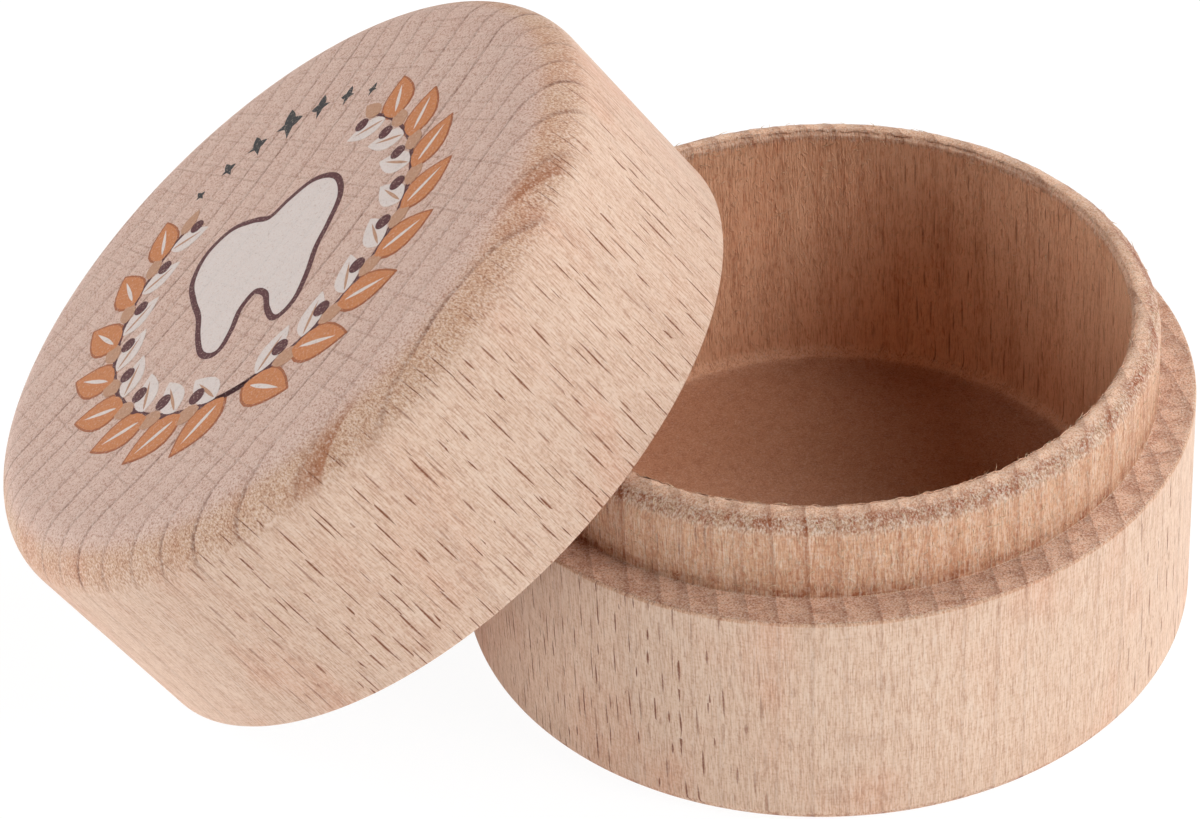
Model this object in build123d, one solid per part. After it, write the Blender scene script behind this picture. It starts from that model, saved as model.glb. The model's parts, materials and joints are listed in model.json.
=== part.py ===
from build123d import *
import os
from math import cos, degrees, hypot, pi, sin

# A small round keepsake box, turned from solid wood in two pieces: a base with a raised neck, and a
# lid whose socket goes over that neck. The lid is shown taken off. It leans on the base, with the far
# side of its mouth on the table and the near side on the rim of the neck.
#
# Lengths are in millimetres and angles in radians. The base's axis is Z, z = 0 is the surface that
# the box stands on, and the lid leans on the -X side.

# Sizes of both pieces
outer_radius = 25.0
edge_break = 0.25          # rounding of the crisp edges where the two pieces meet

# Sizes of the base
shoulder_height = 17.2     # from the underside up to the flat shoulder that the lid closes on
shoulder_width = 2.5       # how far the neck is set in from the outside
neck_height = 6.3
neck_wall = 1.9
rim_land = 0.1             # flat left on the rim, inside its rounding
floor_thickness = 3.6
cavity_corner_round = 1.2
foot_round = 1.2           # rounding of the lower outside edge

# Sizes of the lid
lid_height = 17.5
lid_top_thickness = 6.5
crown_round = 3.7          # rounding around the flat top
socket_corner_round = 1.5
neck_clearance = 0.2       # radial room between the neck and the socket

# Where the lid leans
lid_foot_distance = 21.8   # along the table, from the base's wall to where the lid's mouth stands
lean_clearance = 0.1       # left between the lid's mouth and the rim that it leans on

# Worked out from the sizes above
neck_radius = outer_radius - shoulder_width
cavity_radius = neck_radius - neck_wall
rim_round = neck_wall - rim_land
rim_height = shoulder_height + neck_height
socket_radius = neck_radius + neck_clearance
socket_depth = lid_height - lid_top_thickness

# Steps of the search for the lid's lean
half_mouth_steps = 180
halvings = 40


def rounded_profile(outline, roundings):
    """Return the face inside an outline of (radius, height) points, with some corners rounded.

    roundings maps a corner's place in the outline to its rounding radius.
    """
    with BuildSketch(Plane.XZ) as profile:
        with BuildLine():
            Polyline(*outline, close=True)
        make_face()
        for corner, radius in roundings.items():
            nearest = profile.vertices().sort_by_distance(outline[corner])[0]
            fillet(nearest, radius)
    return profile.sketch


def turned(profile):
    """Turn a half profile once around the Z axis."""
    return revolve(profile, axis=Axis.Z)


def make_base():
    """The base: foot, wall, shoulder, neck with a rounded rim, and the cavity with its floor."""
    outline = [
        (0, 0),
        (outer_radius, 0),
        (outer_radius, shoulder_height),
        (neck_radius, shoulder_height),
        (neck_radius, rim_height),
        (cavity_radius, rim_height),
        (cavity_radius, floor_thickness),
        (0, floor_thickness),
    ]
    roundings = {1: foot_round, 2: edge_break, 4: rim_round, 6: cavity_corner_round}
    return turned(rounded_profile(outline, roundings))


def make_lid():
    """The lid standing on its mouth: flat top with a rounded edge, and the socket underneath."""
    outline = [
        (0, lid_height),
        (outer_radius, lid_height),
        (outer_radius, 0),
        (socket_radius, 0),
        (socket_radius, socket_depth),
        (0, socket_depth),
    ]
    roundings = {1: crown_round, 2: edge_break, 3: edge_break, 4: socket_corner_round}
    return turned(rounded_profile(outline, roundings))


def mouth_centre(tilt):
    """Return x and z of the middle of the lid's mouth when the lid is tilted by that much.

    The rounded outer edge of the mouth stands on the table at lid_foot_distance from the base.
    """
    foot_x = -outer_radius - lid_foot_distance
    reach = outer_radius - edge_break
    centre_x = foot_x + edge_break * sin(tilt) + reach * cos(tilt)
    centre_z = edge_break - edge_break * cos(tilt) + reach * sin(tilt)
    return centre_x, centre_z


def gap_to_rim(tilt):
    """Return the least gap between the rounded inner edge of the mouth and the neck's rounded rim.

    It is negative where the two would overlap. The neck counts as a post with a rounded top edge.
    """
    centre_x, centre_z = mouth_centre(tilt)
    edge_x = centre_x - edge_break * sin(tilt)
    edge_z = centre_z + edge_break * cos(tilt)
    edge_radius = socket_radius + edge_break
    least = outer_radius
    for step in range(half_mouth_steps + 1):
        turn = pi * step / half_mouth_steps
        x = edge_x + edge_radius * cos(turn) * cos(tilt)
        y = edge_radius * sin(turn)
        z = edge_z + edge_radius * cos(turn) * sin(tilt)
        outward = hypot(x, y) - (neck_radius - rim_round)
        upward = z - (rim_height - rim_round)
        outside = hypot(max(outward, 0), max(upward, 0))
        inside = min(max(outward, upward), 0)
        least = min(least, outside + inside - rim_round - edge_break)
    return least


def resting_tilt():
    """Return the tilt at which the lid's mouth just comes to rest on the rim of the neck."""
    flat, upright = 0, pi / 2
    for _ in range(halvings):
        middle = (flat + upright) / 2
        if gap_to_rim(middle) < lean_clearance:
            flat = middle
        else:
            upright = middle
    return upright


def leaning(lid, tilt):
    """Place the lid as it leans on the base: its top faces up and away from the base."""
    centre_x, centre_z = mouth_centre(tilt)
    return Location((centre_x, 0, centre_z), (0, -degrees(tilt), 0)) * lid


def main():
    """Write each piece to its own file in the parts folder."""
    os.makedirs("parts", exist_ok=True)
    tilt = resting_tilt()
    pieces = {
        "base": make_base(),
        "lid": leaning(make_lid(), tilt),
    }
    for name, solid in pieces.items():
        export_step(solid, "parts/" + name + ".step")
    print("lid leans at", round(degrees(tilt), 2), "degrees")


main()
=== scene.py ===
import json
from math import atan2, ceil, cos, pi, radians, sin, tan

import bmesh
import bpy
import numpy as np
from mathutils import Matrix, Vector
from mathutils import noise as lattice


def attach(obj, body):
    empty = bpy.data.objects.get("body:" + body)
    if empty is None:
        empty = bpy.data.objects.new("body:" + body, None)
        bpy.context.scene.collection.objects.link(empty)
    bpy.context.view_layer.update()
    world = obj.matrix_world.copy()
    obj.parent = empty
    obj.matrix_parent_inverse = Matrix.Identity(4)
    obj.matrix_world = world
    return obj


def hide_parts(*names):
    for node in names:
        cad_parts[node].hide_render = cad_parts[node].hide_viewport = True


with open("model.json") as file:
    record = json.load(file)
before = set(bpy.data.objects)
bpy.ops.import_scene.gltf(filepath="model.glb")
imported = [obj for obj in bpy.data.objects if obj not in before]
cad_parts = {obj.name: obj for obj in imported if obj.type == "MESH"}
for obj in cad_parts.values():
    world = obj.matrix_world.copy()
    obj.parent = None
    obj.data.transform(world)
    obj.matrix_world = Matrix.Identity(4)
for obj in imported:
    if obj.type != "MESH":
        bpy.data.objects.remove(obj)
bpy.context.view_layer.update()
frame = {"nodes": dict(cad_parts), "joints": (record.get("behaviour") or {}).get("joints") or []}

# A turned beech box for milk teeth: a base with a raised neck, and a printed lid that leans on it.
# Sizes are in millimetres, and MM brings them to the frame's metres. Wood patterns are worked out in
# millimetres from the pith of the tree that each piece was turned from.

MM = 0.001

# Sizes of both pieces, as in the solids
OUTER_RADIUS = 24.99
EDGE_BREAK = 0.25
# The base
SHOULDER_HEIGHT = 17.2
NECK_RADIUS = 22.5
RIM_HEIGHT = 23.5
RIM_ROUND = 1.8
CAVITY_RADIUS = 20.6
FLOOR_THICKNESS = 3.6
CAVITY_CORNER_ROUND = 1.2
FOOT_ROUND = 1.2
# The lid
LID_HEIGHT = 17.5
CROWN_ROUND = 3.7
SOCKET_RADIUS = 22.7
SOCKET_DEPTH = 11.0
SOCKET_CORNER_ROUND = 1.5
INSIDE_CORNER_ROUND = 0.08     # the least that a cutter leaves in an inside corner
WORN_DEPTH = 0.55              # how far down the rim's inner edge is worn and torn
SLACK = 0.05                   # how far off a wall still counts as on it
CORNER_BAND = 0.3              # how far up a wall a flat floor's finish reaches

# How finely the turned surfaces are divided
SECTORS = 720
ARC_STEP = 0.16
LEAST_ARC_STEPS = 4
FLAT_HOLD = 0.04               # how close to its ends a flat has points that hold it
WORN_STEP = 0.16
NECK_STEP = 0.45
RIM_STEP = 0.55
MOUTH_STEP = 0.5
SOCKET_STEP = 0.6
CAVITY_STEP = 0.8
LONGEST_STEP = 1.6
PLAIN_STEP = 4.0               # on straight faces that a tool left clean

# Where the pith of each blank lies, across from the middle of the piece
BASE_PITH = (-84.6, -30.8)
LID_PITH = (-70.7, 84.0)
# The spacing of the year rings there, and about how far away the pith is
BASE_RINGS = {"Ring_Spacing": 1.9, "Pith_Distance": 90.0}
LID_RINGS = {"Ring_Spacing": 2.3, "Pith_Distance": 110.0}
DARK_RING = 131.7              # the lid's ring that shows as a dark flame on its rounded edge

LATE_WOOD = 0.93               # the share of a year's growth where its dark line is darkest
YEAR_END = 0.955               # and the share from which that line fades

SURFACE_LEVEL = 0.85           # how far the surfaces are dimmed, for deeper shade in the hollows


def paint(red, green, blue):
    """A colour given as it looks on screen, 0 to 255, as Blender's linear values."""
    def linear(value):
        value /= 255
        return value / 12.92 if value <= 0.04045 else ((value + 0.055) / 1.055) ** 2.4
    return (linear(red), linear(green), linear(blue), 1.0)


# Wiring of node trees

# Where a mix node has its two colours and what comes of them
FIRST_COLOUR, SECOND_COLOUR, MIXED_COLOUR = 6, 7, 2


class Wiring:
    """Adds nodes to one tree and links them. Values given as sockets are linked, others are set."""

    def __init__(self, tree):
        self.tree = tree

    def feed(self, socket, value):
        if isinstance(value, bpy.types.NodeSocket):
            self.tree.links.new(value, socket)
        elif value is not None:
            socket.default_value = value

    def node(self, kind, inputs=None, **settings):
        made = self.tree.nodes.new(kind)
        for name, value in settings.items():
            setattr(made, name, value)
        self.fill(made, inputs or {})
        return made

    def made(self, kind, inputs=None, **settings):
        """The first output of a new node."""
        return self.node(kind, inputs, **settings).outputs[0]

    def fill(self, node, inputs):
        for name, value in inputs.items():
            self.feed(node.inputs[name], value)

    def group(self, tree, **inputs):
        """Places a shader group. Its inputs are given with underscores for spaces."""
        named = {name.replace("_", " "): value for name, value in inputs.items()}
        return self.node("ShaderNodeGroup", named, node_tree=tree).outputs

    def maths(self, operation, *values):
        return self.made("ShaderNodeMath", dict(enumerate(values)), operation=operation)

    def times(self, *factors):
        product = factors[0]
        for factor in factors[1:]:
            product = self.maths("MULTIPLY", product, factor)
        return product

    def over(self, value, divisor):
        return self.maths("DIVIDE", value, divisor)

    def minus(self, start, value):
        return self.maths("SUBTRACT", start, value)

    def plus(self, start, value, share):
        """A start value with a share of another value added."""
        return self.maths("MULTIPLY_ADD", value, share, start)

    def vectors(self, operation, *values):
        made = self.node("ShaderNodeVectorMath", dict(enumerate(values)), operation=operation)
        return made.outputs["Value" if operation == "LENGTH" else "Vector"]

    def parts(self, vector):
        return self.node("ShaderNodeSeparateXYZ", {0: vector}).outputs[:3]

    def join(self, x, y, z):
        return self.made("ShaderNodeCombineXYZ", {0: x, 1: y, 2: z})

    def ramp(self, value, low, high, start=0.0, end=1.0):
        """Goes smoothly from start to end while the value goes from low to high."""
        inputs = {"Value": value, "From Min": low, "From Max": high, "To Min": start, "To Max": end}
        return self.made("ShaderNodeMapRange", inputs, interpolation_type="SMOOTHSTEP")

    def noise(self, vector, detail=1.0, roughness=0.5):
        """Smooth noise around zero, of about one lump per unit."""
        inputs = {"Vector": vector, "Scale": 1.0, "Detail": detail, "Roughness": roughness}
        return self.plus(-1.0, self.made("ShaderNodeTexNoise", inputs), 2.0)

    def lumps(self, position, across, along, detail=1.0, roughness=0.5):
        """Smooth noise with lumps of that size across the grain and along it."""
        squeezed = self.vectors("MULTIPLY", position, (1 / across, 1 / across, 1 / along))
        return self.noise(squeezed, detail, roughness)

    def blend(self, factor, first, second, mode="MIX"):
        """Mixes two colours."""
        made = self.node("ShaderNodeMix", data_type="RGBA", blend_type=mode, clamp_factor=True)
        self.fill(made, {0: factor, FIRST_COLOUR: first, SECOND_COLOUR: second})
        return made.outputs[MIXED_COLOUR]

    def dimmed(self, colour):
        """A surface's colour a little below its look, which the lamps make up for."""
        return self.blend(1.0, colour, (*[SURFACE_LEVEL] * 3, 1.0), "MULTIPLY")


NUMBER = "NodeSocketFloat"
VECTOR = "NodeSocketVector"
COLOUR = "NodeSocketColor"
GEOMETRY = "NodeSocketGeometry"
MATERIAL = "NodeSocketMaterial"
SOCKET_FOR = {float: NUMBER, int: "NodeSocketInt", tuple: COLOUR}


def new_group(name, inputs, outputs, kind="ShaderNodeTree"):
    """Starts a node group. Returns its wiring, its inputs and its output node.

    An input is named with its default value, or with its socket's type where it has none.
    """
    tree = bpy.data.node_groups.new(name, kind)
    for socket_name, default in inputs.items():
        bare = isinstance(default, str)
        socket_type = default if bare else SOCKET_FOR[type(default)]
        socket = tree.interface.new_socket(socket_name, in_out="INPUT", socket_type=socket_type)
        if not bare:
            socket.default_value = default
    for socket_name, socket_type in outputs.items():
        tree.interface.new_socket(socket_name, in_out="OUTPUT", socket_type=socket_type)
    w = Wiring(tree)
    given = w.node("NodeGroupInput").outputs
    return w, given, w.node("NodeGroupOutput")


def new_material(name):
    """Starts a material. Returns it with its wiring and its shader."""
    material = bpy.data.materials.new(name)
    material.use_nodes = True
    return material, Wiring(material.node_tree), material.node_tree.nodes["Principled BSDF"]


def from_pith(w, pith, turn):
    """Places on a piece in millimetres from its pith, turned with the piece."""
    return w.made("ShaderNodeMapping", {
        "Vector": w.node("ShaderNodeTexCoord").outputs["Object"],
        "Location": pith, "Rotation": turn, "Scale": (MM, MM, MM),
    }, vector_type="TEXTURE")


# Beech: rings, rays and fibres

def make_growth_rings():
    """Year rings: a thin late-wood line with a sharp outer side, and the shade before it."""
    w, given, result = new_group("growth_rings", {
        "Position": VECTOR, "Spacing": 1.9, "Line Width": 0.17, "Dark Ring": 0.0,
    }, {"Line": NUMBER, "Shade": NUMBER, "Flame": NUMBER, "Dark": NUMBER})
    position = given["Position"]
    x, y, _ = w.parts(position)
    distance = w.vectors("LENGTH", w.join(x, y, 0.0))
    wavering = w.plus(w.lumps(position, 15, 42), w.lumps(position, 2.4, 11), 0.13)
    distance = w.maths("ADD", distance, wavering)
    uneven = w.noise(w.join(w.over(distance, 7.0), 3.7, 0.0), detail=0.0)
    distance = w.plus(distance, uneven, 0.9)
    turns = w.over(distance, given["Spacing"])
    ring = w.maths("FLOOR", turns)
    through = w.maths("FRACT", turns)
    ring_luck = w.node("ShaderNodeTexWhiteNoise", {"W": ring}, noise_dimensions="1D").outputs["Value"]
    width = w.over(given["Line Width"], given["Spacing"])
    start = w.minus(LATE_WOOD, w.times(width, 1.6))
    rise = w.ramp(through, start, LATE_WOOD)
    fall = w.ramp(through, YEAR_END, 1.0, 1.0, 0.0)
    stretches = w.noise(w.join(w.times(ring, 5.3), w.over(y, 5.0), w.over(x, 5.0)))
    along = w.ramp(stretches, -0.7, 0.5, 0.35, 1.0)
    strength = w.times(w.ramp(ring_luck, 0.1, 0.9, 0.4, 1.0), along)
    broken = w.ramp(w.lumps(position, 0.28, 2.0), -0.4, 0.35, 0.35, 1.0)
    past_dark = w.minus(distance, given["Dark Ring"])
    w.fill(result, {
        "Line": w.times(rise, fall, strength, broken),
        "Shade": w.times(w.ramp(through, 0.25, LATE_WOOD), fall),
        "Flame": w.times(w.ramp(through, 0.5, LATE_WOOD), fall, w.ramp(ring_luck, 0.2, 0.7)),
        "Dark": w.times(w.ramp(past_dark, -1.3, 0.0), w.ramp(past_dark, 0.02, 0.16, 1.0, 0.0)),
    })
    return w.tree


def make_wood_rays():
    """Rays: spindle-shaped sheets that stand along the fibres and run out from the pith."""
    w, given, result = new_group("wood_rays", {
        "Position": VECTOR, "Pith Distance": 100.0, "Gap Across": 0.95, "Gap Along": 3.2, "Depth": 14.0,
        "Half Width": 0.052, "Half Length": 1.5,
    }, {"Ray": NUMBER})
    position = given["Position"]
    x, y, z = w.parts(position)
    across = w.times(w.maths("ARCTAN2", y, x), given["Pith Distance"])
    across = w.plus(across, w.lumps(position, 6, 3.5), 0.06)
    outward = w.vectors("LENGTH", w.join(x, y, 0.0))
    cell_place = w.join(w.over(across, given["Gap Across"]), w.over(z, given["Gap Along"]),
                        w.over(outward, given["Depth"]))
    cells = w.node("ShaderNodeTexVoronoi", {"Vector": cell_place, "Scale": 1.0, "Randomness": 1.0})
    luck = w.parts(cells.outputs["Color"])
    from_middle = w.parts(w.vectors("SUBTRACT", cell_place, cells.outputs["Position"]))
    off_across = w.maths("ABSOLUTE", w.times(from_middle[0], given["Gap Across"]))
    off_along = w.times(from_middle[1], given["Gap Along"])
    reach = w.times(given["Half Length"], w.ramp(luck[0], 0.0, 1.0, 0.35, 1.15))
    along_share = w.over(off_along, reach)
    width = w.times(given["Half Width"], w.ramp(luck[1], 0.0, 1.0, 0.55, 1.2))
    across_share = w.over(off_across, width)
    depth = w.minus(w.minus(1.0, w.times(along_share, along_share)), across_share)
    w.fill(result, {"Ray": w.times(w.ramp(depth, -0.4, 0.6), w.ramp(luck[2], 0.0, 0.6, 0.3, 1.0))})
    return w.tree


def make_wood_fibres():
    """Fine fibres along the grain, broader bands of them, and pores."""
    w, given, result = new_group("wood_fibres", {
        "Position": VECTOR, "Fibre Width": 0.085, "Fibre Length": 0.55,
    }, {"Streaks": NUMBER, "Pores": NUMBER, "Broad": NUMBER})
    position = given["Position"]
    thin = w.over(1.0, given["Fibre Width"])
    long = w.over(1.0, given["Fibre Length"])
    fine_place = w.vectors("MULTIPLY", position, w.join(thin, thin, long))
    w.fill(result, {
        "Streaks": w.noise(fine_place, roughness=0.6), "Broad": w.lumps(position, 0.75, 14, detail=2.0),
        "Pores": w.ramp(w.lumps(position, 0.085, 1.1, detail=0.0), 0.12, 0.5),
    })
    return w.tree


# Beech: the whole figure, laid down in layers of colour

class Figure(Wiring):
    """The figure's wiring, with masks from 0 to 1 of how the wood is cut, and the colour laid so far."""

    def __init__(self, tree, given):
        super().__init__(tree)
        self.given = given
        self.place = given["Position"]
        self.end, self.quarter, self.torn = given["End Grain"], given["Quarter Sawn"], given["Torn"]
        self.wander = self.lumps(self.place, 0.45, 1.2, detail=2.0, roughness=0.6)
        self.inside = self.ramp(self.plus(given["Inside"], self.wander, 0.5), 0.3, 0.7)
        self.open_air = self.minus(1.0, self.inside)
        self.flat_end = self.ramp(self.end, 0.72, 0.95)
        self.side = self.ramp(self.end, 0.12, 0.45, 1.0, 0.0)
        self.rounded = self.ramp(self.end, 0.1, 0.55)
        self.crown = self.times(self.rounded, self.minus(1.0, self.flat_end), self.open_air)
        self.torn_outside = self.times(self.torn, self.open_air)
        # The rim's top and worn inner edge are painted paler, with fewer dark gaps and dots: partly its torn
        # end grain, partly painted light on faces that look up
        self.paler_rim_and_light = self.times(self.flat_end, self.ramp(self.torn, 0.6, 0.75),
                                   self.plus(0.5, self.open_air, 0.5))
        self.colour = given["Long Grain"]

    def lay(self, strength, colour, mode="MIX"):
        """Lays one more layer on the colour."""
        self.colour = self.blend(strength, self.colour, colour, mode)


def lay_ground(w):
    """The ground colour of each kind of cut, a little warmer in broad patches."""
    mottle = w.lumps(w.place, 1.2, 1.2, detail=4.0, roughness=0.72)
    patches = w.lumps(w.place, 4.5, 4.5, detail=2.0, roughness=0.6)
    w.lay(w.times(w.rounded, w.ramp(mottle, -0.4, 0.3, 0.5, 1.0), w.ramp(patches, -0.4, 0.3, 0.75, 1.0)),
          w.given["Crown"])
    w.lay(w.flat_end, w.given["Cut End"])
    w.lay(w.times(w.torn, w.side), w.given["Torn Grain"])
    w.lay(w.inside, w.blend(w.flat_end, w.given["Hollow"], w.given["Hollow End"]))
    # The rim's paler colour, partly painted light on its upward faces
    w.lay(w.times(w.paler_rim_and_light, 0.8), paint(255, 213, 181))
    warmth = w.ramp(w.lumps(w.place, 7, 12, detail=2.0), 0.0, 0.6, 0.0, 0.45)
    warmth = w.times(warmth, w.plus(1.0, w.flat_end, -0.85), w.plus(1.0, w.inside, -0.6))
    w.lay(warmth, paint(246, 200, 178), "MULTIPLY")


def brown_rubs_and_shade(w):
    """Blotchy brown: burnished wear on the edges, and partly painted shade in the crease at the neck's foot.
    """
    blotch = w.lumps(w.place, 1.1, 0.9, detail=3.0, roughness=0.65)
    w.lay(w.times(w.given["Rubbed"], w.ramp(blotch, -0.15, 0.28), 0.9), paint(176, 100, 58))


def draw_fibres(w, fibres):
    """Fine darker and paler fibres, with faint marks of turning across them on the sides."""
    speck = w.plus(w.plus(1.0, w.torn, 0.3), w.crown, 0.4)
    streak = w.plus(fibres["Streaks"], fibres["Broad"], w.plus(0.25, w.inside, 0.6))
    turning_marks = w.lumps(w.place, 2.5, 0.11)
    streak = w.plus(streak, turning_marks, w.times(w.side, w.open_air, 0.22))
    w.lay(w.times(w.ramp(streak, 0.1, -0.5), speck, 0.36), paint(198, 166, 148), "MULTIPLY")
    w.lay(w.times(w.ramp(streak, -0.1, 0.5), speck, 0.3, w.open_air), paint(255, 240, 226))
    w.lay(w.times(fibres["Pores"], speck, 0.3), paint(186, 150, 128), "MULTIPLY")


def raise_lint(w):
    """Loose fibres on torn grain that catch the light, with small dark gaps. Returns their strength."""
    curl = w.lumps(w.place, 0.6, 0.6, detail=0.0)
    curled = w.vectors("ADD", w.place, w.join(w.times(curl, 0.25), 0.0, 0.0))
    wool = w.lumps(curled, 0.17, 0.7, detail=2.0, roughness=0.6)
    wool_share = w.times(w.torn, w.plus(1.0, w.inside, -0.25))
    lint = w.times(w.ramp(wool, 0.08, 0.42), wool_share)
    lint_colour = w.blend(w.flat_end, paint(255, 230, 200), paint(240, 212, 190))
    lint_colour = w.blend(w.inside, lint_colour, paint(214, 162, 128))
    w.lay(w.times(lint, w.plus(0.6, w.flat_end, -0.1)), lint_colour)
    gaps = w.times(w.ramp(wool, -0.1, -0.42), wool_share, w.plus(0.62, w.paler_rim_and_light, -0.3))
    w.lay(gaps, paint(196, 134, 100), "MULTIPLY")
    return lint


def draw_rings(w, rings):
    """Rings: clear on end grain, a few broad flames on the rounded edge, and faint along the sides."""
    flames = w.given["Flames"]
    patch = w.ramp(w.maths("ADD", w.lumps(w.place, 6, 9, detail=0.0), flames), 0.1, 0.5)
    torn_side = w.times(w.torn_outside, w.side)
    shade = w.maths("MAXIMUM", w.plus(0.05, w.flat_end, w.given["End Bands"]), w.times(torn_side, 0.24))
    shade = w.maths("MAXIMUM", w.times(rings["Shade"], shade),
                    w.times(rings["Flame"], w.crown, patch, flames))
    w.lay(w.times(shade, w.open_air), w.blend(w.flat_end, paint(168, 104, 72), paint(150, 106, 84)))
    uneven = w.ramp(w.wander, -0.6, 0.3, 0.75, 1.0)
    w.lay(w.times(rings["Dark"], w.crown, uneven, 0.85), paint(168, 104, 66))
    strength = w.plus(0.1, w.flat_end, w.given["End Lines"])
    for cut, share_of_line in ((w.crown, 0.85), (w.quarter, 0.16), (torn_side, 0.45)):
        strength = w.plus(strength, cut, share_of_line)
    strength = w.times(rings["Line"], strength, w.plus(0.2, w.open_air, 0.8))
    w.lay(strength, w.blend(w.times(w.torn_outside, 1.3), paint(126, 82, 64), paint(158, 92, 56)))


def draw_ray_dashes(w, long_rays, short_rays):
    """Rays as dark dashes on the sides, faint where the cut runs along them. Returns their strength."""
    dash = w.maths("MAXIMUM", w.times(short_rays["Ray"], 0.22), long_rays["Ray"])
    dash = w.times(dash, w.ramp(w.quarter, 0.72, 0.97, 1.0, 0.1), w.ramp(w.end, 0.4, 0.8, 1.0, 0.05),
                   w.plus(1.0, w.torn_outside, -0.5), w.plus(1.0, w.inside, -0.45))
    w.lay(dash, w.blend(w.inside, paint(142, 86, 60), paint(128, 62, 34)))
    return dash


def draw_ray_threads(w):
    """Rays on end grain: thin broken lines square to the rings, one in each lane."""
    x, y, _ = w.parts(w.place)
    lane_width = w.given["Lane Width"]
    around = w.times(w.maths("ARCTAN2", y, x), w.given["Pith Distance"])
    lanes = w.over(w.plus(around, w.lumps(w.place, 12, 30), 0.3), lane_width)
    lane = w.maths("FLOOR", lanes)
    luck = w.parts(w.node("ShaderNodeTexWhiteNoise", {"W": lane}, noise_dimensions="1D").outputs["Color"])
    off_line = w.minus(w.maths("FRACT", lanes), w.plus(0.2, luck[0], 0.6))
    off_line = w.times(w.maths("ABSOLUTE", off_line), lane_width)
    broken_place = w.join(w.times(lane, 7.3), w.over(x, 3.0), w.over(y, 3.0))
    breaks = w.ramp(w.noise(broken_place, detail=2.0), -0.4, 0.3, 0.1, 1.0)
    thread = w.times(w.ramp(off_line, 0.03, 0.13, 1.0, 0.0), breaks, w.ramp(luck[1], 0.0, 1.0, 0.35, 1.0))
    w.lay(w.times(thread, w.flat_end, w.open_air, 0.4), paint(164, 124, 104))


def stipple_fibre_ends(w):
    """The ends of cut fibres, pale and dark."""
    stipple = w.lumps(w.place, 0.14, 0.22)
    dots = w.times(w.ramp(w.end, 0.12, 0.45, 0.45, 1.0), w.plus(0.4, w.open_air, 0.6),
                   w.plus(1.0, w.paler_rim_and_light, -0.35))
    w.lay(w.times(w.ramp(stipple, 0.05, 0.4), dots, w.plus(0.42, w.torn, 0.2)), paint(240, 220, 206))
    w.lay(w.times(w.ramp(stipple, -0.05, -0.4), dots, 0.55),
          w.blend(w.torn, paint(196, 158, 136), paint(200, 144, 108)), "MULTIPLY")


def make_beech_figure():
    """The whole figure of beech, from millimetres off the pith and how the surface is cut."""
    w, given, result = new_group("beech_figure", {
        "Position": VECTOR, "End Grain": 0.0, "Quarter Sawn": 0.0, "Torn": 0.0, "Inside": 0.0, "Rubbed": 0.0,
        "Pith Distance": 100.0, "Ring Spacing": 1.9, "Dark Ring": 0.0, "End Bands": 0.06, "End Lines": 0.62,
        "Flames": 0.35, "Ray Length": 1.5, "Ray Spread": 1.0, "Lane Width": 1.1, "Fibre Width": 0.09,
        "Fibre Length": 1.1, "Long Grain": paint(232, 200, 175), "Cut End": paint(228, 195, 180),
        "Crown": paint(212, 170, 138), "Torn Grain": paint(224, 170, 130), "Hollow": paint(244, 195, 159),
        "Hollow End": paint(210, 160, 128),
    }, {"Colour": COLOUR, "Height": NUMBER, "Roughness": NUMBER})
    w = Figure(w.tree, given)
    rings = w.group(make_growth_rings(), Position=w.place, Spacing=given["Ring Spacing"],
                    Dark_Ring=given["Dark Ring"])
    fibres = w.group(make_wood_fibres(), Position=w.place, Fibre_Width=given["Fibre Width"],
                     Fibre_Length=given["Fibre Length"])
    wood_rays, length = make_wood_rays(), given["Ray Length"]
    pith = {"Position": w.place, "Pith_Distance": given["Pith Distance"]}
    long_rays = w.group(wood_rays, **pith, Half_Length=length, Gap_Along=w.times(length, 2.3),
                        Gap_Across=w.times(given["Ray Spread"], 0.95))
    short_rays = w.group(wood_rays, **pith, Half_Length=w.times(length, 0.45), Depth=9.0, Half_Width=0.03,
                         Gap_Along=w.times(length, 1.3), Gap_Across=0.6)
    lay_ground(w)
    brown_rubs_and_shade(w)
    draw_fibres(w, fibres)
    lint = raise_lint(w)
    draw_rings(w, rings)
    dash = draw_ray_dashes(w, long_rays, short_rays)
    draw_ray_threads(w)
    stipple_fibre_ends(w)
    # Fibres and lint stand up, more so on torn grain, and rays sink a little
    height = w.times(fibres["Streaks"], w.plus(0.01, w.torn, 0.02))
    height = w.plus(height, lint, w.plus(0.07, w.paler_rim_and_light, -0.035))
    w.fill(result, {
        "Colour": w.colour, "Height": w.plus(height, dash, -0.03),
        "Roughness": w.plus(0.62, fibres["Streaks"], 0.08),
    })
    return w.tree


# How each point of a turned piece is cut, stored on its mesh. The materials don't see FUZZ, which says
# how thickly loose fibres stand there.
FUZZ = "fuzz"
# rubbed marks burnished brown, which at the neck's foot is partly painted shade in the crease
CUTS = ("end_grain", "quarter_sawn", "torn", "inside", "rubbed")


def beech_material(name, figure, pith, turn, **looks):
    """Bare sanded beech. The pattern is centred on the pith and turned with the piece."""
    material, w, shader = new_material(name)
    for cut in CUTS:
        looks[cut.title()] = w.node("ShaderNodeAttribute", attribute_name=cut).outputs["Fac"]
    wood = w.group(figure, Position=from_pith(w, pith, turn), **looks)
    bump = w.made("ShaderNodeBump", {"Height": wood["Height"], "Distance": MM, "Strength": 1.0})
    w.fill(shader, {
        "Base Color": w.dimmed(wood["Colour"]), "Roughness": wood["Roughness"], "Normal": bump,
        "Specular IOR Level": 0.3,
    })
    return material


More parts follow.
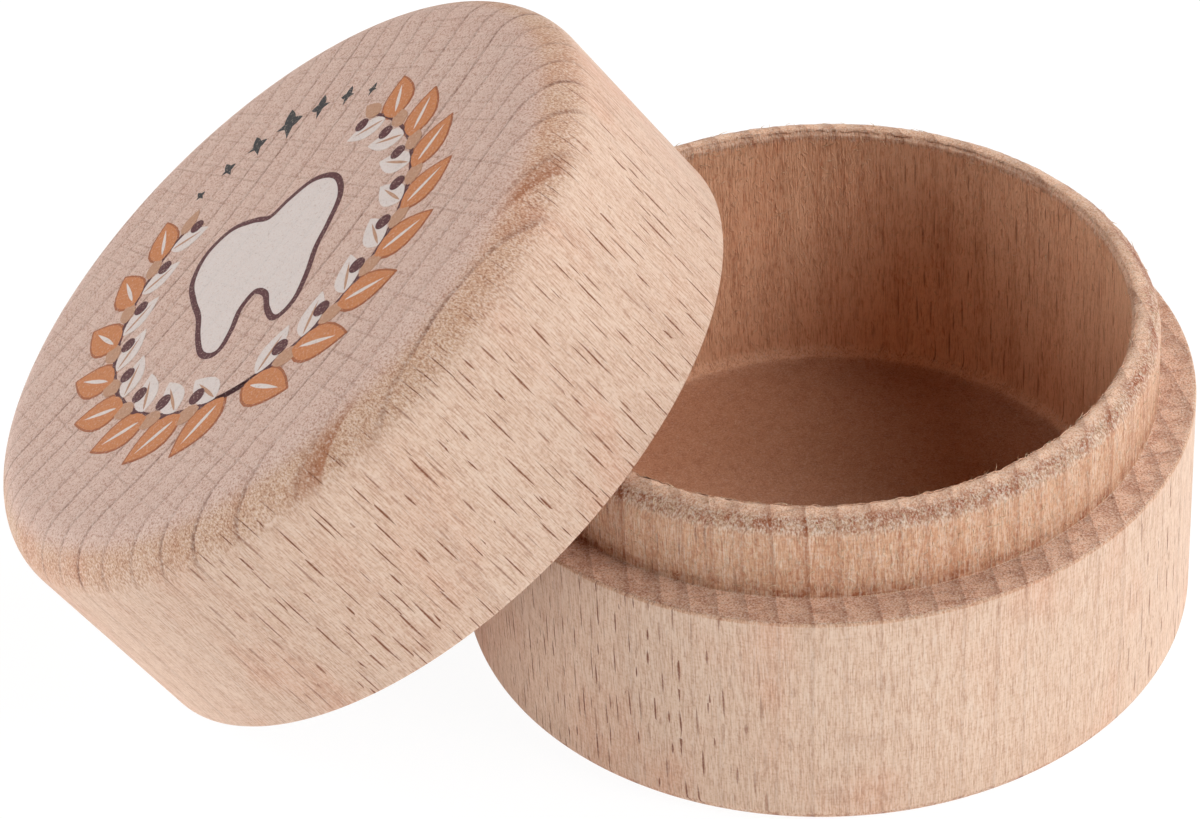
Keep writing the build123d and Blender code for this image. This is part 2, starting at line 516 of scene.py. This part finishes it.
def make_base_beech(figure):
    return beech_material(
        "base_beech", figure, Vector((*BASE_PITH, 0)) * MM, (0, 0, 0), **BASE_RINGS, End_Bands=0.27,
        End_Lines=0.2, Flames=0.7, Ray_Length=1.35, Ray_Spread=0.86, Fibre_Width=0.1, Fibre_Length=1.3,
        # The base's cut end is painted paler than its long grain, partly as painted light on its upward
        # faces, which the lamps reach only weakly
        Cut_End=paint(250, 207, 178),
    )


def make_lid_beech(figure, pith, turn):
    return beech_material(
        "lid_beech", figure, pith, turn, **LID_RINGS, Dark_Ring=DARK_RING, End_Lines=0.68, Ray_Length=1.6,
        Ray_Spread=0.9, Fibre_Width=0.09, Fibre_Length=0.8, Long_Grain=paint(230, 198, 175),
    )


# Turning

def rounding(before, corner, after, radius):
    """Points along the rounding of one corner of an outline."""
    to_before = (before - corner).normalized()
    to_after = (after - corner).normalized()
    half = to_before.angle(to_after) / 2
    middle = corner + (to_before + to_after).normalized() * (radius / sin(half))
    start = corner + to_before * (radius / tan(half)) - middle
    end = corner + to_after * (radius / tan(half)) - middle
    first = atan2(start.y, start.x)
    sweep = (atan2(end.y, end.x) - first + pi) % (2 * pi) - pi
    steps = max(LEAST_ARC_STEPS, ceil(abs(sweep) * radius / ARC_STEP))
    angles = [first + sweep * step / steps for step in range(steps + 1)]
    return [middle + Vector((cos(angle), sin(angle))) * radius for angle in angles]


def run_between(start, end, step):
    """Points along a straight run, without its ends. The outer ones hold the flat firm."""
    length = (end - start).length
    hold = min(FLAT_HOLD, length / 4)
    count = max(1, ceil((length - 2 * hold) / step))
    stops = [hold + (length - 2 * hold) * index / count for index in range(count + 1)]
    return [start.lerp(end, stop / length) for stop in stops]


def turning_outline(corners, roundings, steps):
    """The outline that the tool follows, from the axis back to the axis, as close points.

    roundings gives the radius at a corner, and steps the spacing on the run that ends there.
    """
    corners = [Vector(corner) for corner in corners]
    bends = [[corners[0]]]
    for index in range(1, len(corners) - 1):
        radius = roundings.get(index, INSIDE_CORNER_ROUND)
        if radius == 0:
            bends.append([corners[index]])
        else:
            bends.append(rounding(corners[index - 1], corners[index], corners[index + 1], radius))
    bends.append([corners[-1]])
    points = list(bends[0])
    for index in range(1, len(bends)):
        points += run_between(points[-1], bends[index][0], steps.get(index, LONGEST_STEP))
        points += bends[index]
    return points


def outline_slopes(outline):
    """The direction square to the outline at each of its points."""
    slopes = []
    for before, after in zip(outline[:1] + outline, outline[1:] + outline[-1:]):
        run = (after - before).normalized()
        slopes.append(Vector((run.y, -run.x)))
    return slopes


def turned_faces(rows):
    """Faces between rows of points, and around the two poles that come after them."""
    around = [(sector, (sector + 1) % SECTORS) for sector in range(SECTORS)]
    pole = rows * SECTORS
    last_row = pole - SECTORS
    faces = []
    for low in range(0, last_row, SECTORS):
        high = low + SECTORS
        faces += [(low + here, low + there, high + there, high + here) for here, there in around]
    for here, there in around:
        faces += [(pole, there, here), (pole + 1, last_row + here, last_row + there)]
    return faces


def turned_piece(name, outline, cuts_at, relief, pith_direction, placing, material):
    """Turns an outline once around into a closed mesh, with the cut of each point stored on it.

    cuts_at(radius, height, level) gives the values of CUTS that aren't 0, and relief(place, torn) how
    far a point stands out.
    """
    slopes = outline_slopes(outline)
    verts = []
    stored = {attribute: [] for attribute in (*CUTS, FUZZ)}

    def add(point, slope, angle):
        out = Vector((cos(angle), sin(angle), 0))
        place = out * point.x + Vector((0, 0, point.y))
        facing = out * slope.x + Vector((0, 0, slope.y))
        cut = cuts_at(point.x, point.y, abs(slope.y))
        cut["quarter_sawn"] = abs(sin(angle - pith_direction))
        place += facing * relief(place, cut.get("torn", 0.0))
        verts.append(placing @ (place * MM))
        for attribute, values in stored.items():
            values.append(cut.get(attribute, 0.0))

    for index in range(1, len(outline) - 1):
        for sector in range(SECTORS):
            add(outline[index], slopes[index], 2 * pi * sector / SECTORS)
    add(outline[0], Vector((0, -1)), 0.0)
    add(outline[-1], Vector((0, 1)), 0.0)
    mesh = bpy.data.meshes.new(name)
    mesh.from_pydata(verts, [], turned_faces(len(outline) - 2))
    for attribute, values in stored.items():
        mesh.attributes.new(attribute, "FLOAT", "POINT").data.foreach_set("value", values)
    outward(mesh)
    return shown(name, mesh, material)


def outward(mesh):
    """Turns every face outwards and smooths the shading."""
    shell = bmesh.new()
    shell.from_mesh(mesh)
    bmesh.ops.recalc_face_normals(shell, faces=shell.faces)
    shell.to_mesh(mesh)
    shell.free()
    mesh.polygons.foreach_set("use_smooth", [True] * len(mesh.polygons))


def shown(name, data, material=None):
    """Puts a mesh, a lamp or a camera in the scene."""
    piece = bpy.data.objects.new(name, data)
    bpy.context.collection.objects.link(piece)
    if material:
        data.materials.clear()
        data.materials.append(material)
    return piece


def coarse_noise(place, across, along, seed=0.0):
    """Lattice noise around zero, stretched along the grain."""
    return lattice.noise(Vector((place.x / across + seed, place.y / across, place.z / along)))


def share(value, start, end):
    """How far a value has come from start to end, kept from 0 to 1."""
    return min(1.0, max(0.0, (value - start) / (end - start)))


def hump(value, middle, reach):
    """A smooth hump: 1 at the middle, falling to 0 at that reach from it."""
    return (1 - share(abs(value - middle), 0, reach) ** 2) ** 2


# The base

def base_cuts(radius, height, level):
    """How the base is cut at a point of its outline; level is 1 where it is flat, 0 on an upright wall."""
    if radius < CAVITY_RADIUS + SLACK and height > FLOOR_THICKNESS - SLACK:
        depth = RIM_HEIGHT - height
        inside = share(depth, 0.5 * WORN_DEPTH, 2.5 * WORN_DEPTH)
        if height < FLOOR_THICKNESS + CORNER_BAND:
            return {"end_grain": level, "torn": 0.35, "inside": inside, FUZZ: 0.02}
        worn = share(depth, 1.8 * WORN_DEPTH, 1.8 * WORN_DEPTH - 0.3)
        fuzz = 0.05 + 0.9 * hump(depth, 0.5, 1.2) + 0.25 * share(depth, 7, 0)
        return {"end_grain": max(level, worn), "torn": 0.8, "inside": inside, FUZZ: fuzz}
    if height > SHOULDER_HEIGHT + SLACK:
        # A burnished brown band below the rim, and one at the neck's foot that is partly painted shade in
        # the crease
        below_rim = hump(height, RIM_HEIGHT - 0.6, 0.75)
        at_foot = hump(height, SHOULDER_HEIGHT, 1.6)
        rubbed = max(below_rim, at_foot)
        return {"end_grain": level, "torn": 0.75, "rubbed": rubbed, FUZZ: 0.25 + 0.5 * at_foot}
    if height > SHOULDER_HEIGHT - EDGE_BREAK:
        return {"end_grain": float(level > 0.9), "torn": 0.55, "rubbed": 0.5 * float(level > 0.9)}
    return {"end_grain": level}


def base_relief(place, torn):
    """How far the cutter left the base proud or short of its ideal surface, in millimetres."""
    if torn == 0:
        return 0.0
    radius = (place.x ** 2 + place.y ** 2) ** 0.5
    lumps = torn * (coarse_noise(place, 0.9, 2.4) * 0.045 + coarse_noise(place, 0.4, 1.4, 7.0) * 0.04)
    if radius > NECK_RADIUS + 0.5:
        return min(lumps, 0.0)
    at_edge = share(abs(radius - CAVITY_RADIUS - SLACK), 0.5, 0) * share(RIM_HEIGHT - place.z, WORN_DEPTH, 0)
    ragged = coarse_noise(place, 0.6, 4.0, 3.0) * 0.2 + coarse_noise(place, 0.25, 2.0, 5.0) * 0.14 - 0.3
    return lumps + ragged * at_edge


def make_base(material):
    """The turned base, from the middle of its underside to the middle of the cavity's floor."""
    corners = [
        (0, 0), (OUTER_RADIUS, 0), (OUTER_RADIUS, SHOULDER_HEIGHT), (NECK_RADIUS, SHOULDER_HEIGHT),
        (NECK_RADIUS, RIM_HEIGHT), (CAVITY_RADIUS, RIM_HEIGHT), (CAVITY_RADIUS, RIM_HEIGHT - WORN_DEPTH),
        (CAVITY_RADIUS, FLOOR_THICKNESS), (0, FLOOR_THICKNESS),
    ]
    roundings = {1: FOOT_ROUND, 2: EDGE_BREAK, 4: RIM_ROUND, 6: 0, 7: CAVITY_CORNER_ROUND}
    steps = {
        1: PLAIN_STEP, 2: PLAIN_STEP, 3: RIM_STEP, 4: NECK_STEP, 5: RIM_STEP, 6: WORN_STEP, 7: CAVITY_STEP,
    }
    outline = turning_outline(corners, roundings, steps)
    direction = atan2(BASE_PITH[1], BASE_PITH[0])
    piece = turned_piece("turned_base", outline, base_cuts, base_relief, direction, Matrix(), material)
    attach(piece, "base")
    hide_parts("base")
    return piece


# The lid

def lid_stance():
    """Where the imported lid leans: a matrix from the lid's own frame, mouth down, to the row frame."""
    lift = next(joint for joint in frame["joints"] if joint["name"] == "lid_lift")
    up = Vector(lift["axis"]).normalized()
    upright = Matrix((Vector((up.z, 0, -up.x)), Vector((0, 1, 0)), up))
    points = np.array([upright @ vertex.co for vertex in frame["nodes"]["lid"].data.vertices])
    low, high = points.min(axis=0), points.max(axis=0)
    mouth = Vector(((low[0] + high[0]) / 2, (low[1] + high[1]) / 2, low[2]))
    return upright.transposed().to_4x4() @ Matrix.Translation(mouth)


def lid_cuts(radius, height, level):
    """How the lid is cut at a point of its outline, told as in base_cuts."""
    if radius < SOCKET_RADIUS + SLACK and EDGE_BREAK < height < SOCKET_DEPTH + SLACK:
        on_ceiling = height > SOCKET_DEPTH - CORNER_BAND
        return {"end_grain": level, "torn": 0.35 if on_ceiling else 0.7, "inside": 1.0}
    if height < EDGE_BREAK:
        return {"end_grain": float(level > 0.9)}
    return {"end_grain": level}


def lid_relief(place, torn):
    """How far the cutter left the lid proud or short, in millimetres."""
    if torn == 0:
        return 0.0
    return torn * (coarse_noise(place, 0.9, 2.4, 11.0) * 0.03 + coarse_noise(place, 0.35, 0.9, 13.0) * 0.015)


def make_lid(stance, material):
    """The turned lid, from the middle of its socket's ceiling to the middle of its flat top."""
    corners = [
        (0, SOCKET_DEPTH), (SOCKET_RADIUS, SOCKET_DEPTH), (SOCKET_RADIUS, 0), (OUTER_RADIUS, 0),
        (OUTER_RADIUS, LID_HEIGHT), (0, LID_HEIGHT),
    ]
    roundings = {1: SOCKET_CORNER_ROUND, 2: EDGE_BREAK, 3: EDGE_BREAK, 4: CROWN_ROUND}
    steps = {2: SOCKET_STEP, 3: MOUTH_STEP}
    outline = turning_outline(corners, roundings, steps)
    direction = atan2(LID_PITH[1], LID_PITH[0])
    piece = turned_piece("turned_lid", outline, lid_cuts, lid_relief, direction, stance, material)
    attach(piece, "lid")
    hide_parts("lid")
    return piece


# Loose fibres

def make_torn_fibres():
    """Fibres that stand out of torn grain, thickest where the surface's fuzz is 1."""
    w, given, result = new_group("torn_fibres", {
        "Surface": GEOMETRY, "Fibres Per Square Metre": 3.2e6, "Length": 0.5 * MM, "Thickness": 0.07 * MM,
        "Bend": 0.35 * MM, "Least Tilt": 1.1, "Most Tilt": 1.6, "Seed": 5, "Material": MATERIAL,
    }, {"Fibres": GEOMETRY}, "GeometryNodeTree")
    fuzz = w.node("GeometryNodeInputNamedAttribute", {"Name": FUZZ}, data_type="FLOAT").outputs["Attribute"]
    roots = w.node("GeometryNodeDistributePointsOnFaces", {
        "Mesh": given["Surface"], "Seed": given["Seed"],
        "Density": w.times(fuzz, given["Fibres Per Square Metre"]),
    }).outputs
    fibre = w.node("GeometryNodeMeshCone", {
        "Vertices": 3, "Side Segments": 4, "Radius Top": w.times(given["Thickness"], 0.15),
        "Radius Bottom": w.times(given["Thickness"], 0.5), "Depth": given["Length"],
    }).outputs["Mesh"]
    rise = w.over(w.parts(w.made("GeometryNodeInputPosition"))[2], given["Length"])
    lean = w.times(rise, rise, given["Bend"])
    bent = w.made("GeometryNodeSetPosition", {"Geometry": fibre, "Offset": w.join(lean, 0.0, 0.0)})
    tilt = w.made("FunctionNodeRandomValue", {
        0: w.join(given["Least Tilt"], 0.0, 0.0), 1: w.join(given["Most Tilt"], 0.0, 2 * pi),
        "Seed": given["Seed"],
    }, data_type="FLOAT_VECTOR")
    turned = w.made("FunctionNodeRotateRotation", {0: roots["Rotation"], 1: tilt}, rotation_space="LOCAL")
    size = w.node("FunctionNodeRandomValue", {2: 0.3, 3: 1.0, "Seed": given["Seed"]}, data_type="FLOAT")
    size = size.outputs[1]
    stood = w.made("GeometryNodeInstanceOnPoints", {
        "Points": roots["Points"], "Instance": bent, "Rotation": turned, "Scale": w.join(size, size, size),
    })
    finish_tree(w, stood, given, result)
    return w.tree


def finish_tree(w, instances, given, result):
    """Makes instances real, and gives them their material."""
    real = w.made("GeometryNodeRealizeInstances", {0: instances})
    coloured = w.made("GeometryNodeSetMaterial", {"Geometry": real, "Material": given["Material"]})
    w.fill(result, {0: coloured})


def grown(name, tree, host, settings):
    """Runs a geometry tree on a host object. Returns what it makes as a plain mesh."""
    modifier = host.modifiers.new(name, "NODES")
    modifier.node_group = tree
    for socket in tree.interface.items_tree:
        if socket.in_out == "INPUT" and socket.name in settings:
            modifier[socket.identifier] = settings[socket.name]
    evaluated = host.evaluated_get(bpy.context.evaluated_depsgraph_get())
    mesh = bpy.data.meshes.new_from_object(evaluated)
    mesh.name = name
    host.modifiers.remove(modifier)
    return mesh


def make_neck_fibres(base, material):
    """Torn fibres along the rim, on the neck and down the cavity's wall."""
    mesh = grown("neck_fibres", make_torn_fibres(), base, {"Material": material})
    outward(mesh)
    piece = shown("neck_fibres", mesh, material)
    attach(piece, "base")


def fibre_material():
    """Pale loose wood fibre, a little darker in some strands."""
    material, w, shader = new_material("loose_fibre")
    place = w.node("ShaderNodeTexCoord").outputs["Object"]
    strands = w.lumps(place, MM / 0.7, MM / 0.7)
    colour = w.blend(w.ramp(strands, -0.4, 0.4), paint(206, 164, 126), paint(246, 222, 190))
    roughness = w.ramp(strands, -0.5, 0.5, 0.5, 0.75)
    w.fill(shader, {"Base Color": w.dimmed(colour), "Roughness": roughness})
    return material


# The print on the lid
# Its places are in millimetres on the lid's flat face: x runs up the lean, y away from the camera.

PRINT_TURN = radians(-4.4)
INK_TOP = 0.02
INK_ROOT = -0.02
INKS = {
    "white": (240, 232, 228), "plum": (98, 52, 56), "terracotta": (216, 142, 90), "rust": (178, 106, 64),
    "tan": (204, 160, 130), "charcoal": (60, 61, 63),
}
# Right half of a milk tooth, from the dip in its crown round to the fork of its roots
TOOTH = [
    (0.0, 4.6), (1.7, 5.4), (3.7, 5.9), (5.6, 4.8), (6.3, 2.5), (5.7, 0.1), (4.9, -2.0), (4.5, -4.4),
    (3.8, -6.5), (2.6, -7.2), (1.8, -5.8), (1.3, -3.9), (0.0, -2.8),
]
CURVE_STEPS = 10
OUTLINE_WIDTH = 0.5
STEM_RADIUS = 12.9
STEM_WIDTH = 0.6
STEM_TAPER = 0.6
STEM_STEPS = 60
STEM_FIRST = radians(-99)
STEM_LAST = radians(50)
LEAVES_ON_STEM = 8
SPARKLE_RADIUS = 15.2
SPARKLE_WIDTH = 0.62
SPARKLE_SHARPNESS = 1.3
LEAF_SHARPNESS = 0.75

# What grows on each stem, the lowest layer first: name, ink, row, length, width, start and lift
OUTER_ROW = {"First Angle": -87, "Last Angle": 36, "Lean": -40}
INNER_ROW = {"First Angle": -83, "Last Angle": 40, "Lean": 48}
BUD_ROW = {"First Angle": -77, "Last Angle": 46, "Lean": -12}
BERRY_ROW = {"First Angle": -74, "Last Angle": 50, "Lean": 74, "Sharpness": 0.0}
LEAVES = [
    ("outer_leaf_edges", "rust", OUTER_ROW, 5.5, 3.3, 0.0, 0.0),
    ("outer_leaves", "terracotta", OUTER_ROW, 5.0, 2.9, 0.25, 0.008),
    ("leaf_veins", "white", OUTER_ROW, 3.4, 0.36, 0.95, 0.016),
    ("inner_leaves", "white", INNER_ROW, 4.0, 2.1, 0.3, 0.004),
    ("inner_veins", "tan", INNER_ROW, 3.0, 0.26, 0.5, 0.012),
    ("buds", "tan", BUD_ROW, 2.7, 1.5, 0.2, 0.006),
    ("berries", "plum", BERRY_ROW, 1.35, 1.35, 0.55, 0.02),
]
# Sparkles in the wreath's opening: which side, their row, and their size
SPARKLES = [
    ("middle", {"First Angle": 90, "Last Angle": 91, "Count": 1}, 1.5),
    ("right", {"First Angle": 79, "Last Angle": 59, "Count": 3, "Size Change": 0.5}, 1.1),
    ("left", {"First Angle": 101, "Last Angle": 121, "Count": 3, "Size Change": 0.5}, 1.1),
]
# The two crossed rays of a sparkle: name, lean, length for its size, and lift
SPARKLE_RAYS = [("long", 0, 1.6, 0.0), ("cross", 90, 2.2, 0.004)]


def smooth_loop(points):
    """A closed smooth curve through points, as close points."""
    loop = []
    count = len(points)
    for index in range(count):
        a, b, c, d = (Vector(points[(index + shift) % count]) for shift in (-1, 0, 1, 2))
        for step in range(CURVE_STEPS):
            t = step / CURVE_STEPS
            loop.append(0.5 * ((2 * b) + (c - a) * t + (2 * a - 5 * b + 4 * c - d) * t * t
                               + (3 * b - a - 3 * c + d) * t ** 3))
    return loop


def tooth_loop(grow=0.0):
    """The outline of the tooth, grown outwards by that much."""
    mirrored = [(-x, y) for x, y in reversed(TOOTH[1:-1])]
    loop = smooth_loop(TOOTH + mirrored)
    grown_loop = []
    for index, point in enumerate(loop):
        run = (loop[(index + 1) % len(loop)] - loop[index - 1]).normalized()
        grown_loop.append(point + Vector((-run.y, run.x)) * grow)
    return grown_loop


def stem_loop(heading):
    """The outline of one stem of the wreath, tapering to its tip. heading is 1 on the right, -1 left."""
    outer, inner = [], []
    for step in range(STEM_STEPS + 1):
        angle = STEM_FIRST + (STEM_LAST - STEM_FIRST) * step / STEM_STEPS
        half = STEM_WIDTH / 2 * (1 - STEM_TAPER * step / STEM_STEPS)
        out = Vector((heading * cos(angle), sin(angle)))
        outer.append(out * (STEM_RADIUS + half))
        inner.append(out * (STEM_RADIUS - half))
    return outer + inner[::-1]


def printing_face(stance):
    """The lid's flat face: a matrix from the print's millimetres to the row frame."""
    top = Matrix.Translation((0, 0, LID_HEIGHT * MM))
    return stance @ top @ Matrix.Rotation(PRINT_TURN, 4, "Z") @ Matrix.Scale(MM, 4)


def printed(face, name, mesh, material):
    """Places a printed shape on the lid's face."""
    mesh.transform(face)
    piece = shown(name, mesh, material)
    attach(piece, "lid")
    return piece


def ink_slab(face, name, loop, material, lift=0.0):
    """A thin printed shape inside a loop of points."""
    shell = bmesh.new()
    top = [shell.verts.new((point.x, point.y, INK_TOP + lift)) for point in loop]
    root = [shell.verts.new((point.x, point.y, INK_ROOT)) for point in loop]
    shell.faces.new(top)
    shell.faces.new(root)
    for index in range(len(loop)):
        after = (index + 1) % len(loop)
        shell.faces.new((top[index], top[after], root[after], root[index]))
    bmesh.ops.recalc_face_normals(shell, faces=shell.faces)
    bmesh.ops.triangulate(shell, faces=[side for side in shell.faces if len(side.verts) > 4])
    mesh = bpy.data.meshes.new(name)
    shell.to_mesh(mesh)
    shell.free()
    return printed(face, name, mesh, material)


def slab_of(w, flat, thickness):
    """Gives a flat shape its thickness, upwards, with its underside closed."""
    raised = w.node("GeometryNodeExtrudeMesh", {
        "Mesh": flat, "Offset": (0.0, 0.0, 1.0), "Offset Scale": thickness, "Individual": False,
    }).outputs["Mesh"]
    both = w.node("GeometryNodeJoinGeometry", {0: raised})
    w.feed(both.inputs[0], w.made("GeometryNodeFlipFaces", {"Mesh": flat}))
    return w.made("GeometryNodeMergeByDistance", {"Geometry": both.outputs[0], "Distance": 1e-4})


def make_leaf_row():
    """A row of printed leaves or dots along an arc. A sharpness of 0 makes dots, 0.5 or more leaves."""
    w, given, result = new_group("leaf_row", {
        "Stem Radius": STEM_RADIUS, "First Angle": 0.0, "Last Angle": 1.0, "Count": LEAVES_ON_STEM,
        "Length": 4.0, "Width": 1.7, "Sharpness": LEAF_SHARPNESS, "Lean": 0.6, "Start": 0.3, "Lift": 0.0,
        "Size Change": 0.85, "Material": MATERIAL,
    }, {"Leaves": GEOMETRY}, "GeometryNodeTree")

    flat = w.made("GeometryNodeMeshCircle", {"Vertices": 20, "Radius": 1.0}, fill_type="NGON")
    around_x, around_y, _ = w.parts(w.made("GeometryNodeInputPosition"))
    along = w.times(w.plus(0.5, around_x, 0.5), given["Length"])
    taper = w.maths("POWER", w.maths("ABSOLUTE", around_y), given["Sharpness"])
    across = w.times(around_y, taper, w.times(given["Width"], 0.5))
    belly = w.plus(1.0, w.times(around_x, given["Sharpness"]), -0.45)
    place = w.join(w.maths("ADD", along, given["Start"]), w.times(across, belly), INK_ROOT)
    leaf = w.made("GeometryNodeSetPosition", {"Geometry": flat, "Position": place})
    leaf = slab_of(w, leaf, w.maths("ADD", given["Lift"], INK_TOP - INK_ROOT))

    index = w.made("GeometryNodeInputIndex")
    last = w.maths("MAXIMUM", w.minus(given["Count"], 1.0), 1.0)
    along_row = w.over(index, last)
    span = w.minus(given["Last Angle"], given["First Angle"])
    angle = w.plus(given["First Angle"], along_row, span)
    spot = w.join(w.times(w.maths("COSINE", angle), given["Stem Radius"]),
                  w.times(w.maths("SINE", angle), given["Stem Radius"]), 0.0)
    spots = w.made("GeometryNodePoints", {"Count": given["Count"], "Position": spot})
    heading = w.maths("SIGN", span)
    turn = w.maths("ADD", angle, w.plus(w.times(heading, given["Lean"]), heading, pi / 2))
    size = w.plus(1.0, along_row, w.minus(given["Size Change"], 1.0))
    row = w.made("GeometryNodeInstanceOnPoints", {
        "Points": spots, "Instance": leaf, "Rotation": w.join(0.0, 0.0, turn),
        "Scale": w.join(size, size, 1.0),
    })
    finish_tree(w, row, given, result)
    return w.tree


def make_wreath(face, inks):
    """Two leafy stems around the tooth, open at the top, with berries, and sparkles in the opening."""
    leaf_row = make_leaf_row()
    host = shown("wreath_host", bpy.data.meshes.new("wreath_host"))

    def row(name, ink, settings):
        inputs = settings | {"Material": inks[ink]}
        for key in ("First Angle", "Last Angle", "Lean"):
            inputs[key] = radians(inputs[key])
        printed(face, name, grown(name, leaf_row, host, inputs), inks[ink])

    for side, heading in (("right", 1), ("left", -1)):
        ink_slab(face, "print_stem_" + side, stem_loop(heading), inks["plum"], 0.002)
        for name, ink, settings, length, width, start, lift in LEAVES:
            settings = settings | {"Length": length, "Width": width, "Start": start, "Lift": lift}
            if side == "left":
                for key in ("First Angle", "Last Angle"):
                    settings[key] = 180 - settings[key]
            row("print_" + name + "_" + side, ink, settings)
    for side, settings, size in SPARKLES:
        for ray, lean, stretch, lift in SPARKLE_RAYS:
            length = size * stretch
            row("print_sparkle_" + side + "_" + ray, "charcoal", settings | {
                "Stem Radius": SPARKLE_RADIUS, "Length": length, "Width": size * SPARKLE_WIDTH,
                "Start": -length / 2, "Lean": lean, "Sharpness": SPARKLE_SHARPNESS, "Lift": lift,
            })
    bpy.data.objects.remove(host)


def make_print(face, inks):
    """A plain tooth inside a leafy wreath."""
    ink_slab(face, "print_tooth_outline", tooth_loop(OUTLINE_WIDTH), inks["plum"])
    ink_slab(face, "print_tooth", tooth_loop(), inks["white"], 0.01)
    make_wreath(face, inks)


def ink_material(name, colour, figure, pith, turn):
    """Flat printed ink. The wood's rings and pores show through, and the ink has a fine grain."""
    material, w, shader = new_material(name)
    place = from_pith(w, pith, turn)
    wood = w.group(figure, Position=place, End_Grain=1.0, **LID_RINGS)
    through = w.blend(1.0, wood["Colour"], paint(*colour), "MULTIPLY")
    dots = w.lumps(place, 0.17, 0.17, detail=2.0)
    ink = w.blend(w.ramp(dots, 0.05, 0.45, 0.0, 0.5), paint(*colour), paint(238, 214, 200))
    ink = w.blend(w.ramp(dots, -0.05, -0.5, 0.0, 0.55), ink, through)
    ink = w.blend(0.22, ink, through)
    bump = w.made("ShaderNodeBump", {"Height": dots, "Distance": 0.004 * MM, "Strength": 1.0})
    w.fill(shader, {
        "Base Color": w.dimmed(ink), "Roughness": w.ramp(dots, -0.5, 0.5, 0.5, 0.68),
        "Normal": bump, "Specular IOR Level": 0.35,
    })
    return material


# Studio

# The photograph's camera, found from the outlines of both pieces. It looks at this place on the box,
# in millimetres, from that far away and that direction.
CAMERA_AIM = (-14.79, -2.75, 17.5)
CAMERA_DISTANCE = 276.12
CAMERA_AZIMUTH = radians(-87.27)
CAMERA_ELEVATION = radians(37.912)
CAMERA_ROLL = radians(-3.786)
CAMERA_LENS = 124.24

# Round soft lamps that point at the box: their places in metres, and their power
LAMPS = {
    "key": ((0.53, -0.19, 0.56), 1.8),
    "key_low": ((0.60, -0.35, 0.40), 3.2),
    "over_lid": ((-0.56, 0.07, 0.42), 1.75),
    "beside_lid": ((-0.65, 0.07, 0.22), 1.2),
    "low_left": ((-0.53, -0.46, 0.17), 1.0),
    "behind": ((0.35, 0.45, 0.50), 2.8),
}
LAMP_SIZE = 0.4
LAMP_AIM = (-0.01, 0.0, 0.015)

WHITE = (1.0, 1.0, 1.0, 1.0)
TABLE_REACH = 2.0
TABLE_GLOW = 0.46              # the light that the table gives the box from below
TABLE_WHITENESS = 0.9          # how far the camera sees the table as plain white


def place_camera():
    """The camera, rolled, then raised and swung round the place that it looks at."""
    data = bpy.data.cameras.new("camera")
    data.lens = CAMERA_LENS
    data.sensor_fit = "HORIZONTAL"
    data.clip_start = 0.01
    swung = Matrix.Rotation(CAMERA_AZIMUTH + pi / 2, 4, "Z")
    raised = Matrix.Rotation(pi / 2 - CAMERA_ELEVATION, 4, "X")
    rolled = Matrix.Rotation(CAMERA_ROLL, 4, "Z")
    away = Matrix.Translation((0, 0, CAMERA_DISTANCE * MM))
    camera = shown("camera", data)
    camera.matrix_world = Matrix.Translation(Vector(CAMERA_AIM) * MM) @ swung @ raised @ rolled @ away
    bpy.context.scene.camera = camera


def soft_lamp(name, place, power):
    data = bpy.data.lights.new(name, "AREA")
    data.shape = "DISK"
    data.size = LAMP_SIZE
    data.energy = power
    lamp = shown(name, data)
    lamp.location = place
    lamp.rotation_euler = (Vector(place) - Vector(LAMP_AIM)).to_track_quat("Z", "Y").to_euler()


def make_table():
    """A table that the camera sees nearly as plain white, with a soft shadow of the box."""
    mesh = bpy.data.meshes.new("table")
    far = TABLE_REACH
    mesh.from_pydata([(-far, -far, 0), (far, -far, 0), (far, far, 0), (-far, far, 0)], [], [(0, 1, 2, 3)])
    material, w, shader = new_material("white_table")
    w.fill(shader, {
        "Base Color": (0.9, 0.9, 0.9, 1.0), "Roughness": 0.9, "Specular IOR Level": 0.1,
        "Emission Color": WHITE, "Emission Strength": TABLE_GLOW,
    })
    plain = w.made("ShaderNodeEmission", {"Color": WHITE, "Strength": 1.0})
    seen = w.times(w.node("ShaderNodeLightPath").outputs["Is Camera Ray"], TABLE_WHITENESS)
    mixed = w.made("ShaderNodeMixShader", {0: seen, 1: shader.outputs[0], 2: plain})
    w.fill(material.node_tree.nodes["Material Output"], {"Surface": mixed})
    shown("table", mesh, material)


def make_studio():
    """A white table, surroundings that are white to the camera alone, and the lamps."""
    world = bpy.data.worlds.new("surroundings")
    world.use_nodes = True
    w = Wiring(world.node_tree)
    sky = world.node_tree.nodes["Background"]
    w.fill(sky, {"Color": WHITE, "Strength": w.node("ShaderNodeLightPath").outputs["Is Camera Ray"]})
    bpy.context.scene.world = world
    make_table()
    for name, (place, power) in LAMPS.items():
        soft_lamp(name, place, power)
    bpy.context.scene.view_settings.view_transform = "Standard"


# Putting it together

beech_figure = make_beech_figure()
stance = lid_stance()
lid_pith = stance @ (Vector((*LID_PITH, 0)) * MM)
lid_turn = stance.to_euler()

place_camera()
make_studio()
base = make_base(make_base_beech(beech_figure))
make_lid(stance, make_lid_beech(beech_figure, lid_pith, lid_turn))
make_neck_fibres(base, fibre_material())
make_print(printing_face(stance), {
    name: ink_material("ink_" + name, colour, beech_figure, lid_pith, lid_turn)
    for name, colour in INKS.items()
})
